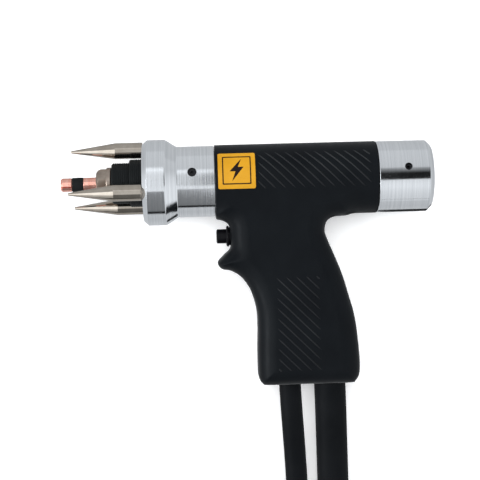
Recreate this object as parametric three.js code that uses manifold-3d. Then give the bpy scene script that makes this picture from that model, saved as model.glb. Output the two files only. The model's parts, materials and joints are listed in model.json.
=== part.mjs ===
// A pistol-grip stud welding gun, lying on its right side on a flat surface, with its two cables
// laid out behind the grip and coiled. Millimetres, +Z up.
// The gun is drawn upright in a frame of its own: the barrel's axis is X with the muzzle towards
// -X, the grip hangs towards -Y, and +Z is the gun's left side. A group then lays it down.
import * as THREE from 'three';
import { mergeVertices } from 'three/addons/utils/BufferGeometryUtils.js';
import Module from 'manifold-3d';

const wasm = await Module();
wasm.setup();

// ---- driving dimensions ----
const GAP = 0.3;                 // clearance between pieces that touch or slide
const FLANGE_R = 24.2;           // leg flange of the nose body
const TUBE_R = 20.0;             // nose tube
const BARREL_R = 20.4;           // moulded housing around the barrel
const CAP_R = 20.2;              // rear cap
const FLANGE_BACK = -43.5;       // rear edge of the flange's rim
const NOSE_FRONT = -57.9;        // flange front face
const HOUSING_FRONT = -17.5;
const HOUSING_BACK = 73.7;
const CAP_BACK = 104.7;
const CAP_CHAMFER = 2.6;
const WALL = 2.8;                // housing wall
const GRIP_HALF = 17.5;          // half the grip's thickness
const BUTT_Y = -116;             // underside of the butt
const GRIP_POWER = 3.4;          // squareness of the grip's section

const LEG_CIRCLE_R = 19.2;
const LEG_R = 4.6;
const LEG_TIP = -98.7;
const LEG_SHOULDER = -73.6;
const LEG_ANGLES = [-14, 106, 226];   // degrees from +Y towards +Z
const GRUB_ANGLES = [75, 195, 315];   // set screws in the nose and the cap
const NOSE_GRUB_X = -30.1;
const CAP_GRUB_X = 90;

const SPINDLE_R = 6;
const BORE_R = 15.2;             // outside of what slides into the barrel
const SHELL_BORE_R = 17.6;       // the housing's bore
const SPIGOT_R = 17.2;           // the nose's and the cap's ends inside the housing
const TRIGGER_Y = -31.4;

// Each cable leaves the butt at exitX, meets its coil at tangentX, and is wound to the side
// given, in turns about a middle radius, so many wide and so many high.
const WELD = {
  radius: 9, exitX: 45, tangentX: 45.6, side: 1, middle: 90, wide: 2, high: 3, coilY: -289,
};
const CONTROL = {
  radius: 6.25, exitX: 22.2, tangentX: 24, side: -1, middle: 62.5, wide: 2, high: 4, coilY: -253,
};
const COIL_LIFT = 1.3;           // room for the ties under a coil

// The gun rests on the flange's rim, the cap's rim and the flank of the butt.
const PITCH = Math.asin((FLANGE_R - CAP_R) / (CAP_BACK - CAP_CHAMFER - FLANGE_BACK));
const REST_HEIGHT = FLANGE_R * Math.cos(PITCH) + FLANGE_BACK * Math.sin(PITCH);
const BUTT_REST = { x: 46, y: -109.5 };
const ROLL = Math.asin((REST_HEIGHT - GRIP_HALF - BUTT_REST.x * Math.sin(PITCH)) / -BUTT_REST.y);

// ---- materials ----
function material(color, roughness, metalness) {
  return new THREE.MeshStandardMaterial({ color, roughness, metalness });
}
const aluminium = material(0xc9cbcd, 0.3, 1);
const nickel = material(0xb9aa98, 0.15, 1);
const nutMetal = material(0x8a7a6c, 0.3, 1);
const copper = material(0xd98a63, 0.35, 1);
const steel = material(0x9a9ca0, 0.35, 1);
const brass = material(0xc2a04e, 0.3, 1);
const housingPlastic = material(0x191d1f, 0.5, 0);
const bellowsRubber = material(0x101112, 0.7, 0);
const cableRubber = material(0x17181a, 0.65, 0);
const blackPlastic = material(0x111213, 0.4, 0);
const insulator = material(0xb08a4a, 0.6, 0);
const coilCopper = material(0xa8562a, 0.4, 0.6);
const amber = material(0xe19b2d, 0.45, 0);
const tieFabric = material(0x202225, 0.9, 0);

// ---- solids ----
// A closed geometry as a manifold solid, with its faces turned outwards.
function solid(geometry) {
  const bare = geometry.index ? geometry.toNonIndexed() : geometry.clone();
  bare.deleteAttribute('normal');
  bare.deleteAttribute('uv');
  const merged = mergeVertices(bare, 1e-4);
  const corners = merged.index.array;
  const kept = [];
  for (let i = 0; i < corners.length; i += 3) {
    const [a, b, c] = [corners[i], corners[i + 1], corners[i + 2]];
    if (a !== b && b !== c && c !== a) kept.push(a, b, c);
  }
  const place = merged.attributes.position.array;
  if (volumeOf(place, kept) < 0) kept.reverse();
  const vertProperties = new Float32Array(place);
  const triVerts = new Uint32Array(kept);
  return new wasm.Manifold(new wasm.Mesh({ numProp: 3, vertProperties, triVerts }));
}

function volumeOf(place, corners) {
  const [a, b, c] = [new THREE.Vector3(), new THREE.Vector3(), new THREE.Vector3()];
  let volume = 0;
  for (let i = 0; i < corners.length; i += 3) {
    a.fromArray(place, 3 * corners[i]);
    b.fromArray(place, 3 * corners[i + 1]);
    c.fromArray(place, 3 * corners[i + 2]);
    volume += a.dot(b.cross(c)) / 6;
  }
  return volume;
}

function geometryOf(manifold) {
  const mesh = manifold.getMesh();
  const geometry = new THREE.BufferGeometry();
  geometry.setAttribute('position', new THREE.BufferAttribute(mesh.vertProperties.slice(), 3));
  geometry.setIndex(new THREE.BufferAttribute(mesh.triVerts.slice(), 1));
  geometry.computeVertexNormals();
  return geometry;
}

function joined(pieces) {
  return pieces.reduce((all, piece) => all.add(piece));
}

function cut(body, pieces) {
  return pieces.reduce((rest, piece) => rest.subtract(piece), body);
}

// A solid of revolution about the X axis, from [x, radius] points.
function turned(profile, segments = 32) {
  const points = profile.map(([x, r]) => new THREE.Vector2(r, x));
  const openEnds = profile[0][1] === 0 && profile.at(-1)[1] === 0;
  if (!openEnds) points.push(points[0].clone());
  const lathe = new THREE.LatheGeometry(points, segments);
  return solid(lathe.rotateZ(-Math.PI / 2));
}

function rod(x0, x1, radius, segments = 32) {
  return turned([[x0, 0], [x0, radius], [x1, radius], [x1, 0]], segments);
}

function sleeve(x0, x1, outer, inner, segments = 32) {
  return turned([[x0, inner], [x0, outer], [x1, outer], [x1, inner]], segments);
}

function block(x0, x1, y0, y1, z0, z1) {
  const box = new THREE.BoxGeometry(x1 - x0, y1 - y0, z1 - z0);
  return solid(box.translate((x0 + x1) / 2, (y0 + y1) / 2, (z0 + z1) / 2));
}

// A cylinder from one point to another.
function pin(from, to, radius, segments = 16) {
  const [a, b] = [new THREE.Vector3(...from), new THREE.Vector3(...to)];
  const along = b.clone().sub(a);
  const cylinder = new THREE.CylinderGeometry(radius, radius, along.length(), segments);
  const turn = new THREE.Quaternion().setFromUnitVectors(new THREE.Vector3(0, 1, 0), along.normalize());
  const middle = a.add(b).multiplyScalar(0.5);
  return solid(cylinder.applyQuaternion(turn).translate(middle.x, middle.y, middle.z));
}

// A point at a radius and an angle about the barrel, in degrees from +Y towards +Z.
function around(x, radius, degrees) {
  const angle = THREE.MathUtils.degToRad(degrees);
  return [x, radius * Math.cos(angle), radius * Math.sin(angle)];
}

function swept(points, radius, sides = 10, steps = 24) {
  const path = new THREE.CatmullRomCurve3(points.map((p) => new THREE.Vector3(...p)));
  const section = new THREE.Shape();
  for (let i = 0; i < sides; i += 1) {
    const angle = (2 * Math.PI * i) / sides;
    const [u, v] = [radius * Math.cos(angle), radius * Math.sin(angle)];
    if (i === 0) section.moveTo(u, v);
    else section.lineTo(u, v);
  }
  return solid(new THREE.ExtrudeGeometry(section, { extrudePath: path, steps, bevelEnabled: false }));
}

// A helical spring about the line through (0, y, 0) along X.
function spring(x0, x1, radius, wire, turns, y = 0) {
  const points = [];
  const perTurn = 8;
  for (let i = 0; i <= turns * perTurn; i += 1) {
    const angle = (2 * Math.PI * i) / perTurn;
    const x = x0 + wire + ((x1 - x0 - 2 * wire) * i) / (turns * perTurn);
    points.push([x, y + radius * Math.cos(angle), radius * Math.sin(angle)]);
  }
  return swept(points, wire, 5, turns * perTurn);
}

const model = new THREE.Group();
const gun = new THREE.Group();
gun.rotation.set(ROLL, PITCH, 0, 'YXZ');
gun.position.z = REST_HEIGHT;
model.add(gun);

function place(name, manifold, look, parent = gun) {
  const mesh = new THREE.Mesh(geometryOf(manifold), look);
  mesh.name = name;
  parent.add(mesh);
}

// ---- nose: aluminium body, legs, set screws ----
function noseBody() {
  const body = turned([
    [NOSE_FRONT, 14], [NOSE_FRONT, FLANGE_R - 2.3], [NOSE_FRONT + 2.5, FLANGE_R],
    [FLANGE_BACK, FLANGE_R], [-41, 22], [-39.1, TUBE_R], [HOUSING_FRONT - GAP, TUBE_R],
    [HOUSING_FRONT - GAP, SPIGOT_R], [0, SPIGOT_R], [0, BORE_R + GAP], [-45, BORE_R + GAP],
    [-45, 14],
  ], 40);
  const threads = LEG_ANGLES.map((a) => {
    return pin(around(NOSE_FRONT - 1, LEG_CIRCLE_R, a), around(-46.4, LEG_CIRCLE_R, a), 3);
  });
  const grubs = GRUB_ANGLES.map((a) => {
    return pin(around(NOSE_GRUB_X, 14, a), around(NOSE_GRUB_X, 22, a), 2.55);
  });
  return cut(body, [...threads, ...grubs]);
}

function leg(angle) {
  const start = around(0, LEG_CIRCLE_R, angle);
  return turned([
    [LEG_TIP, 0], [LEG_TIP, 0.8], [LEG_SHOULDER, LEG_R], [NOSE_FRONT - GAP, LEG_R],
    [NOSE_FRONT - GAP, 2.7], [-46.8, 2.7], [-46.8, 0],
  ], 24).translate(start);
}

// A hexagon-socket set screw with its open end outwards.
function grubScrew(x, angle, inner, outer, radius) {
  const screw = pin(around(x, inner, angle), around(x, outer, angle), radius);
  const socket = pin(around(x, outer - 1.6, angle), around(x, outer + 1, angle), radius * 0.52, 6);
  return screw.subtract(socket);
}

place('nose_body', noseBody(), aluminium);
LEG_ANGLES.forEach((angle, i) => place(`leg_${i + 1}`, leg(angle), nickel));
GRUB_ANGLES.forEach((angle, i) => {
  place(`nose_set_screw_${i + 1}`, grubScrew(NOSE_GRUB_X, angle, 15.6, 18.9, 2.25), steel);
});

// ---- spindle and chuck ----
const NUT_BACK = -75.8;

function collet() {
  const body = turned([
    [-104.7, 1.6], [-104.7, 3.3], [-104.1, 3.8], [-98.2, 3.8], [-98.2, 3.3], [-91.5, 3.3],
    [-91.5, 3.95], [-81.3, 3.95], [-81.3, 0], [-84, 0], [-84, 1.6],
  ], 24);
  const slits = [0, 90].map((angle) => {
    return block(-106, -93, -5, 5, -0.25, 0.25).rotate([angle, 0, 0]);
  });
  return cut(body, slits);
}

function chuckNut() {
  const hexagon = pin([-84.3, 0, 0], [-78.3, 0, 0], 8.6, 6);
  const domed = turned([[-84.3, 0], [-84.3, 7.2], [-83, 8.6], [-78.3, 8.6], [-78.3, 0]], 24);
  const collar = rod(-78.4, NUT_BACK, 9.3, 24);
  const bore = rod(-90, -70, 4.3, 24);
  const counterbore = rod(-81, -70, 5, 24);
  return cut(hexagon.intersect(domed).add(collar), [bore, counterbore]);
}

function spindle() {
  return turned([
    [-80.7, 0], [-80.7, 4.6], [-75.3, 4.6], [-75.3, SPINDLE_R], [54, SPINDLE_R], [54, 0],
  ], 24);
}

function bellows() {
  return turned([
    [-75.4, 6.4], [-75.4, 11.1], [-74.9, 11.6], [-65.5, 11.6], [-65, 13.5], [-47, 13.5],
    [-47, 12], [-63.5, 12], [-64, 10.2], [-73.6, 10.2], [-73.6, 6.4],
  ], 32);
}

function weldLug() {
  const ring = sleeve(20, 30, 11, SPINDLE_R + GAP, 24);
  const tab = block(21, 29, -22.6, -10, -6, 6);
  const hole = pin([25, 5, 0], [25, 14, 0], 2.6, 12);
  return ring.add(tab).subtract(hole);
}

place('spindle', spindle(), steel);
place('collet', collet(), copper);
place('collet_band', sleeve(-97.9, -91.8, 4.1, 3.6, 24), bellowsRubber);
place('stud_stop', rod(-92, -86, 1.3, 12), steel);
place('chuck_nut', chuckNut(), nutMetal);
place('bellows', bellows(), bellowsRubber);
place('weld_lug', weldLug(), copper);
place('lug_screw', pin([25, 6.6, 0], [25, 10.8, 0], 2.3, 12), steel);
place('armature', rod(54.3, 66, 7.5, 24), steel);

// ---- barrel internals ----
function guideTube() {
  const slot = block(17, 41, -20, -8, -7.5, 7.5);
  return sleeve(-31.5, 56.5, BORE_R, 13.2, 32).subtract(slot);
}

function corePlug() {
  return turned([
    [75, 5.2], [75, 7.9], [80.3, 7.9], [80.3, 14.8], [92.5, 14.8], [92.5, 5.2],
  ], 32);
}

place('front_bush', sleeve(-44.7, -32, BORE_R, SPINDLE_R + GAP, 32), insulator);
place('guide_tube', guideTube(), insulator);
place('rear_bush', sleeve(42, 52, 12.9, SPINDLE_R + GAP, 32), insulator);
place('lift_coil', sleeve(57, 80, 14.8, 8.2, 32), coilCopper);
place('core_plug', corePlug(), steel);
place('main_spring', spring(66.3, 90, 3.6, 0.6, 8), steel);

// ---- rear cap and spring adjuster ----
function rearCap() {
  const body = turned([
    [62, 15.1], [62, SPIGOT_R], [HOUSING_BACK + GAP, SPIGOT_R], [HOUSING_BACK + GAP, CAP_R],
    [CAP_BACK - CAP_CHAMFER, CAP_R], [CAP_BACK, CAP_R - CAP_CHAMFER], [CAP_BACK, 7.3],
    [94, 7.3], [94, 15.1],
  ], 40);
  const grubs = GRUB_ANGLES.map((a) => pin(around(CAP_GRUB_X, 14, a), around(CAP_GRUB_X, 22, a), 2.1));
  return cut(body, grubs);
}

function springAdjuster() {
  const slot = block(102.6, 106, -8, 8, -0.8, 0.8);
  return rod(93.4, 103.9, 7, 24).subtract(slot);
}

place('rear_cap', rearCap(), aluminium);
place('spring_seat', rod(90.3, 93, 4.8, 24), brass);
place('spring_adjuster', springAdjuster(), brass);
GRUB_ANGLES.forEach((angle, i) => {
  place(`cap_set_screw_${i + 1}`, grubScrew(CAP_GRUB_X, angle, 15.2, 19, 1.8), steel);
});

// ---- housing: two moulded halves with the grip ----
const FRONT_EDGE = [
  [-18, -6], [-17.4, -19.7], [-13.2, -21.7], [-10.1, -25.4], [-9.7, -31.4], [-9.7, -38.1],
  [-13.8, -42.4], [-17.1, -46.3], [-14.8, -49.6], [-9.7, -50.8], [-4, -54.6], [0.9, -62],
  [4.2, -73], [4.7, -83.9], [4.3, -109.2], [5.2, -113.6], [8.8, BUTT_Y],
];
const REAR_EDGE = [
  [62, -6], [55.8, -19.4], [49.2, -20.5], [45.1, -23.8], [43.6, -29.1], [44.9, -34.2],
  [52, -51.9], [55.9, -65], [59.3, -78.2], [61, -92.8], [61.7, -105.9], [61.4, -111],
  [58.9, BUTT_Y],
];
const GRIP_LEVELS = [
  -6, -16, -19.7, -20.6, -22, -23.8, -26, -29.1, -34.2, -38.1, -40.5, -42.4, -44.5, -46.3,
  -48.2, -49.6, -50.8, -52.4, -54.6, -58, -62, -67, -73, -83.9, -95, -105.9, -111, -114, BUTT_Y,
];

function edgeAt(edge, y) {
  const after = edge.findIndex((p) => p[1] <= y);
  const [x0, y0] = edge[Math.max(after - 1, 0)];
  const [x1, y1] = edge[after];
  return y0 === y1 ? x1 : x0 + ((x1 - x0) * (y - y0)) / (y1 - y0);
}

// The grip as a stack of rounded-rectangle sections, drawn in by an inset.
function gripBody(inset) {
  const sides = 28;
  const levels = [...GRIP_LEVELS.filter((y) => y > BUTT_Y + inset), BUTT_Y + inset];
  const points = [];
  const corners = [];
  levels.forEach((y) => {
    const [front, rear] = [edgeAt(FRONT_EDGE, y) + inset, edgeAt(REAR_EDGE, y) - inset];
    const nearButt = Math.max(0, 1 - (y - BUTT_Y) / 5);
    const half = GRIP_HALF - inset - (inset > 0 ? 0 : 2.5 * nearButt ** 2);
    for (let i = 0; i < sides; i += 1) {
      const angle = (2 * Math.PI * (i + 0.5)) / sides;
      const [c, s] = [Math.cos(angle), Math.sin(angle)];
      const x = (front + rear) / 2 + ((rear - front) / 2) * Math.sign(c) * Math.abs(c) ** (2 / GRIP_POWER);
      points.push(x, y, half * Math.sign(s) * Math.abs(s) ** (2 / GRIP_POWER));
    }
  });
  for (let level = 0; level + 1 < levels.length; level += 1) {
    for (let i = 0; i < sides; i += 1) {
      const [a, b] = [level * sides + i, level * sides + ((i + 1) % sides)];
      corners.push(a, b, b + sides, a, b + sides, a + sides);
    }
  }
  const last = (levels.length - 1) * sides;
  for (let i = 1; i + 1 < sides; i += 1) {
    corners.push(0, i + 1, i, last, last + i, last + i + 1);
  }
  const geometry = new THREE.BufferGeometry();
  geometry.setAttribute('position', new THREE.Float32BufferAttribute(points, 3));
  geometry.setIndex(corners);
  return solid(geometry);
}

// Housing screws as [x, y]: they enter from the right half.
const SCREWS = [[-6, -46.3], [10.6, -86], [56.2, -84], [47.6, -56], [38.3, -27]];
const BOSS_R = 3.6;

function screwHead([x, y]) {
  const head = pin([x, y, -14.4], [x, y, -12.3], 3.1, 16);
  const shank = pin([x, y, -12.4], [x, y, 8], 1.3, 10);
  const recess = pin([x, y, -15], [x, y, -13.4], 1.3, 6);
  return cut(head.add(shank), [recess]);
}

function housing() {
  const outer = rod(HOUSING_FRONT, HOUSING_BACK, BARREL_R, 56).add(gripBody(0));
  const bore = rod(-30, 90, SHELL_BORE_R, 40);
  const bosses = joined(SCREWS.map(([x, y]) => pin([x, y, -17], [x, y, 16], BOSS_R, 16)));
  const kept = bosses.intersect(outer).subtract(bore);
  const shell = cut(outer, [bore, gripBody(WALL)]).add(kept);
  const holes = [
    pin([-14, TRIGGER_Y, 0], [-5, TRIGGER_Y, 0], 5.5, 24),
    pin([WELD.exitX, -120, 0], [WELD.exitX, -110, 0], WELD.radius + 3 * GAP, 32),
    pin([CONTROL.exitX, -120, 0], [CONTROL.exitX, -110, 0], CONTROL.radius + 3 * GAP, 32),
    ...SCREWS.map(([x, y]) => pin([x, y, -30], [x, y, -12], 3.4, 16)),
    ...SCREWS.map(([x, y]) => pin([x, y, -30], [x, y, 9], 1.6, 10)),
  ];
  return cut(shell, holes);
}

const shell = housing();
const HALF_BOX = 200;
place('housing_left', shell.intersect(block(-60, 120, -150, 40, GAP / 2, HALF_BOX)), housingPlastic);
place('housing_right', shell.intersect(block(-60, 120, -150, 40, -HALF_BOX, -GAP / 2)), housingPlastic);
SCREWS.forEach((spot, i) => place(`housing_screw_${i + 1}`, screwHead(spot), steel));

function badge() {
  const [inner, outer] = [BARREL_R + GAP, BARREL_R + 1.1];
  const [low, high] = [-13, 45].map((a) => THREE.MathUtils.degToRad(a));
  const shape = new THREE.Shape();
  shape.absarc(0, 0, outer, low, high, false);
  shape.absarc(0, 0, inner, high, low, true);
  const plate = new THREE.ExtrudeGeometry(shape, { depth: 20.7, bevelEnabled: false, curveSegments: 12 });
  return solid(plate.rotateY(Math.PI / 2).rotateX(Math.PI / 2).translate(-15.8, 0, 0));
}
place('badge', badge(), amber);

// ---- trigger ----
function aboutTrigger(manifold) {
  return manifold.translate([0, TRIGGER_Y, 0]);
}

function triggerButton() {
  return aboutTrigger(turned([
    [-17.5, 0], [-17.5, 3.5], [-17, 4.07], [-6.3, 4.07], [-6.3, 5.6], [-4.8, 5.6], [-4.8, 0],
  ], 24));
}

function triggerCollar() {
  return aboutTrigger(turned([
    [-11.9, 4.4], [-11.9, 5.5], [-11.5, 5.9], [-10.5, 5.9], [-10.5, 5.2], [-6.7, 5.2], [-6.7, 4.4],
  ], 24));
}

place('trigger_button', triggerButton(), blackPlastic);
place('trigger_collar', triggerCollar(), blackPlastic);
place('trigger_spring', spring(-4.5, 1.7, 3, 0.35, 4, TRIGGER_Y), steel);
place('trigger_switch', block(2, 15, TRIGGER_Y - 6.5, TRIGGER_Y + 6.5, -5.5, 5.5), blackPlastic);

// ---- cable entry inside the grip ----
function cableClamp() {
  const bar = block(15.2, 54.8, -103.4, -96.2, -10.8, 10.8);
  return cut(bar, [
    pin([WELD.exitX, -104, 0], [WELD.exitX, -92, 0], WELD.radius + GAP, 24),
    pin([CONTROL.exitX, -104, 0], [CONTROL.exitX, -92, 0], CONTROL.radius + GAP, 24),
    pin([32.2, -99.8, -12], [32.2, -99.8, 12], 1.9, 12),
  ]);
}

function cableBush(cable) {
  const [outer, inner] = [cable.radius + 2.4, cable.radius + GAP];
  const ring = sleeve(104, 112.6, outer, inner, 24).rotate([0, 0, -90]);
  return ring.translate([cable.exitX, 0, 0]);
}

place('cable_clamp', cableClamp(), blackPlastic);
const clampScrew = pin([32.2, -99.8, -10], [32.2, -99.8, 12], 1.6, 12);
place('cable_clamp_screw', clampScrew.add(pin([32.2, -99.8, 11.1], [32.2, -99.8, 13], 3, 12)), steel);
place('weld_cable_bush', cableBush(WELD), bellowsRubber);
place('control_cable_bush', cableBush(CONTROL), bellowsRubber);
place('inner_weld_lead', swept([
  [25, -23, 0], [25.2, -34, 0], [31, -48, 0], [40, -68, 0], [45, -82, 0], [WELD.exitX, -91.6, 0],
], 5.5, 10, 16), coilCopper);
place('inner_control_lead', swept([
  [8.5, -38.3, 0], [8.5, -45, 0], [11.5, -58, 0], [18, -74, 0], [22, -84, 0],
  [CONTROL.exitX, -91.6, 0],
], 2.5, 8, 16), cableRubber);

// ---- cables, on the surface that the gun lies on ----
gun.updateMatrixWorld(true);
function fromGun(x, y, z) {
  return new THREE.Vector3(x, y, z).applyMatrix4(gun.matrixWorld).toArray();
}

// Straight out of the butt, down on to the surface, and along it to the coil.
const WELD_LEAD = [
  fromGun(WELD.exitX, -92, 0), fromGun(WELD.exitX, -104, 0), fromGun(WELD.exitX, -116, 0),
  [45.1, -130, 16.1], [45.3, -146, 13.6], [45.5, -163, 11.3], [45.6, -181, 10.3],
  [45.6, -196, 10.3], [45.6, -210, 10.3], [45.6, -225, 10.3],
];
const CONTROL_LEAD = [
  fromGun(CONTROL.exitX, -92, 0), fromGun(CONTROL.exitX, -104, 0),
  fromGun(CONTROL.exitX, -116, 0), [22.6, -129, 16.2], [23.4, -144, 13.2], [24.2, -159, 10],
  [24.8, -174, 7.9], [24.6, -186, 7.55], [24.2, -198, 7.55], [24, -210, 7.55],
];

function coilCentre(cable) {
  const outerLane = cable.middle + cable.radius * (cable.wide - 1);
  return [cable.tangentX + cable.side * outerLane, cable.coilY];
}

function coilTop(cable) {
  return COIL_LIFT + 2 * cable.radius * cable.high;
}

function coilRing(cable) {
  const [inner, outer] = [-1, 1].map((way) => cable.middle + way * cable.radius * cable.wide);
  const points = [
    [inner, COIL_LIFT], [outer, COIL_LIFT], [outer, coilTop(cable)], [inner, coilTop(cable)],
    [inner, COIL_LIFT],
  ].map(([r, z]) => new THREE.Vector2(r, z));
  const ring = new THREE.LatheGeometry(points, 48);
  const [x, y] = coilCentre(cable);
  return solid(ring.rotateX(Math.PI / 2)).translate([x, y, 0]);
}

// A point of the coil, in degrees along its winding: 0 is where the lead joins it.
function onCoil(cable, radius, degrees, z) {
  const angle = THREE.MathUtils.degToRad(degrees);
  const [x, y] = coilCentre(cable);
  return [x - cable.side * radius * Math.cos(angle), y - radius * Math.sin(angle), z];
}

// The last stretch leaves its lane, rises on to the coil and curls inwards to the plug.
WELD.tail = { lane: 81, from: 305, bend: 74, turn: 50, plugR: 18, plugLength: 78 };
CONTROL.tail = { lane: 68.75, from: 242, bend: 54, turn: 40, plugR: 11, plugLength: 44 };

function plugHeight(cable) {
  return coilTop(cable) + cable.tail.plugR;
}

function tailPoint(cable, turnedBy) {
  const { lane, from, bend } = cable.tail;
  const [cx, cy] = onCoil(cable, lane - bend, from, 0);
  const angle = THREE.MathUtils.degToRad(from + turnedBy);
  const z = plugHeight(cable);
  return [cx - cable.side * bend * Math.cos(angle), cy - bend * Math.sin(angle), z];
}

function tailTube(cable) {
  const points = [];
  const steps = 6;
  const last = cable.tail.turn - THREE.MathUtils.radToDeg((4 * GAP) / cable.tail.bend);
  for (let i = 0; i <= steps; i += 1) points.push(tailPoint(cable, (last * i) / steps));
  return swept(points, cable.radius, 10, steps);
}

// A solid drawn along X from 0, put on the end of a cable's tail.
function onTail(cable, manifold) {
  const [x, y, z] = tailPoint(cable, cable.tail.turn);
  const heading = cable.tail.from + cable.tail.turn;
  const degrees = cable.side > 0 ? heading - 90 : -heading - 90;
  return manifold.rotate([0, 0, degrees]).translate([x, y, z]);
}

function weldPlugSleeve() {
  const { plugR, plugLength } = WELD.tail;
  return turned([
    [0, 0], [0, 12], [24, 14], [30, plugR], [plugLength, plugR], [plugLength, 9], [40, 9], [40, 0],
  ], 28);
}

function weldPlugContact() {
  const nose = WELD.tail.plugLength + 27;
  const key = block(nose - 17, nose - 5, 0, 8.3, -2, 2);
  return turned([[40.3, 0], [40.3, 8.6], [nose - 19, 8.6], [nose - 19, 6.5], [nose - 1, 6.5],
    [nose, 5.5], [nose, 0]], 24).add(key);
}

function controlPlugBody() {
  const { plugR, plugLength } = CONTROL.tail;
  return turned([
    [0, 0], [0, 8], [14, 8.6], [16, plugR - 1], [30, plugR - 1], [30, plugR - 2.6],
    [plugLength, plugR - 2.6], [plugLength, 0],
  ], 24);
}

function controlPlugRing() {
  return sleeve(30.3, CONTROL.tail.plugLength + 8, CONTROL.tail.plugR, CONTROL.tail.plugR - 2.3, 24);
}

// A strap closed around a coil's section.
function coilTie(cable, degrees) {
  const [inner, outer] = [-1, 1].map((way) => cable.middle + way * (cable.radius * cable.wide + 0.7));
  const width = 12;
  const [low, high] = [COIL_LIFT - GAP, coilTop(cable) + GAP];
  const loop = block(inner - 1, outer + 1, -width / 2, width / 2, low - 1, high + 1);
  const strap = loop.subtract(block(inner, outer, -width, width, low, high));
  const [x, y] = coilCentre(cable);
  return strap.rotate([0, 0, degrees]).translate([x, y, 0]);
}

place('weld_cable_lead', swept(WELD_LEAD, WELD.radius, 12, 14), cableRubber, model);
place('weld_cable_coil', coilRing(WELD), cableRubber, model);
place('weld_cable_tail', tailTube(WELD), cableRubber, model);
place('weld_plug_sleeve', onTail(WELD, weldPlugSleeve()), bellowsRubber, model);
place('weld_plug_contact', onTail(WELD, weldPlugContact()), brass, model);
place('control_cable_lead', swept(CONTROL_LEAD, CONTROL.radius, 10, 16), cableRubber, model);
place('control_cable_coil', coilRing(CONTROL), cableRubber, model);
place('control_cable_tail', tailTube(CONTROL), cableRubber, model);
place('control_plug_body', onTail(CONTROL, controlPlugBody()), blackPlastic, model);
place('control_plug_ring', onTail(CONTROL, controlPlugRing()), nickel, model);
place('weld_coil_tie_1', coilTie(WELD, 272), tieFabric, model);
place('weld_coil_tie_2', coilTie(WELD, 338), tieFabric, model);
place('control_coil_tie_1', coilTie(CONTROL, 280), tieFabric, model);
place('control_coil_tie_2', coilTie(CONTROL, 340), tieFabric, model);

// The origin is the middle of the underside of the gun's box.
const gunBox = new THREE.Box3().setFromObject(gun, true);
const origin = gunBox.getCenter(new THREE.Vector3());
model.position.set(-origin.x, -origin.y, -gunBox.min.z);

export default model;
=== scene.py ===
"""A pistol-grip stud welding gun lying on its right side, with its two cables coiled behind the grip.
The gun's own frame: X along the barrel from the muzzle (-X) to the rear cap, +Y up, +Z its left side."""
import json
import math

import bmesh
import bpy
import numpy as np
from mathutils import Matrix, Vector


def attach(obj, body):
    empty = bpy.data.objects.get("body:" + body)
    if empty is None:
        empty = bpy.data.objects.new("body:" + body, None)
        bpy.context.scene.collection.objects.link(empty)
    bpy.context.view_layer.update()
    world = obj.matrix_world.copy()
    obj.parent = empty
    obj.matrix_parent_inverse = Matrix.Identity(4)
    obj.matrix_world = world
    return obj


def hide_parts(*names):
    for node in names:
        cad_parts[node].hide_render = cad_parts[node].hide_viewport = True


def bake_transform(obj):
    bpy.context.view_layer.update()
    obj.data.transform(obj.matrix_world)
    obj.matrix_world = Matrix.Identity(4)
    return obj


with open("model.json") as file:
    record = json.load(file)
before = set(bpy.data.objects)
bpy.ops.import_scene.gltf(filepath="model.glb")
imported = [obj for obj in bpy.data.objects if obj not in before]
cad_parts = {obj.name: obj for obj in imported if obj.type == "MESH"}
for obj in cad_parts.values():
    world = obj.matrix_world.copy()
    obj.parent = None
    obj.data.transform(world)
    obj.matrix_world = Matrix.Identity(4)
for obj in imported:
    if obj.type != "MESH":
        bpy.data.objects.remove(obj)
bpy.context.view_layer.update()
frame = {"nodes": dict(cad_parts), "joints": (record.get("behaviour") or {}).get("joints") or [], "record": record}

MM = 0.001

# ---- driving dimensions, in millimetres ----
FLANGE_R = 24.2
FLANGE_BACK = -43.5
TUBE_R = 20.0
BARREL_R = 20.4
CAP_R = 20.2
NOSE_FRONT = -57.9
HOUSING_FRONT = -17.5
HOUSING_BACK = 73.7
CAP_BACK = 104.7
CAP_CHAMFER = 2.6
WALL = 2.8
GRIP_HALF = 17.5
BUTT_Y = -116.0
LEG_CIRCLE_R = 19.2
LEG_ANGLES = (-14, 106, 226)
GRUB_ANGLES = (75, 195, 315)
NOSE_GRUB_X = -30.1
CAP_GRUB_X = 90.0
LEG_TIP = -98.7
LEG_SHOULDER = -73.6
TRIGGER_Y = -31.4
SCREWS = ((-6, -46.3), (10.6, -86), (56.2, -84), (47.6, -56), (38.3, -27))
COIL_LIFT = 1.3


class Cable:
    """One cable: its size, where it leaves the butt, its coil and how its end lies on the coil."""

    def __init__(self, radius, exit_x, tangent_x, side, middle, wide, high, coil_y, tail):
        self.radius = radius
        self.exit_x = exit_x
        self.side = side
        self.middle = middle
        self.wide = wide
        self.high = high
        self.lane, self.tail_from, self.bend, self.turn, self.plug_r = tail
        outer_lane = middle + radius * (wide - 1)
        self.centre = (tangent_x + side * outer_lane, coil_y)
        self.top = COIL_LIFT + 2 * radius * high
        self.plug_z = self.top + self.plug_r


WELD = Cable(9, 45, 45.6, 1, 90, 2, 3, -289, (81, 305, 74, 50, 18))
CONTROL = Cable(6.25, 22.2, 24, -1, 62.5, 2, 4, -253, (68.75, 242, 54, 40, 11))

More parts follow.
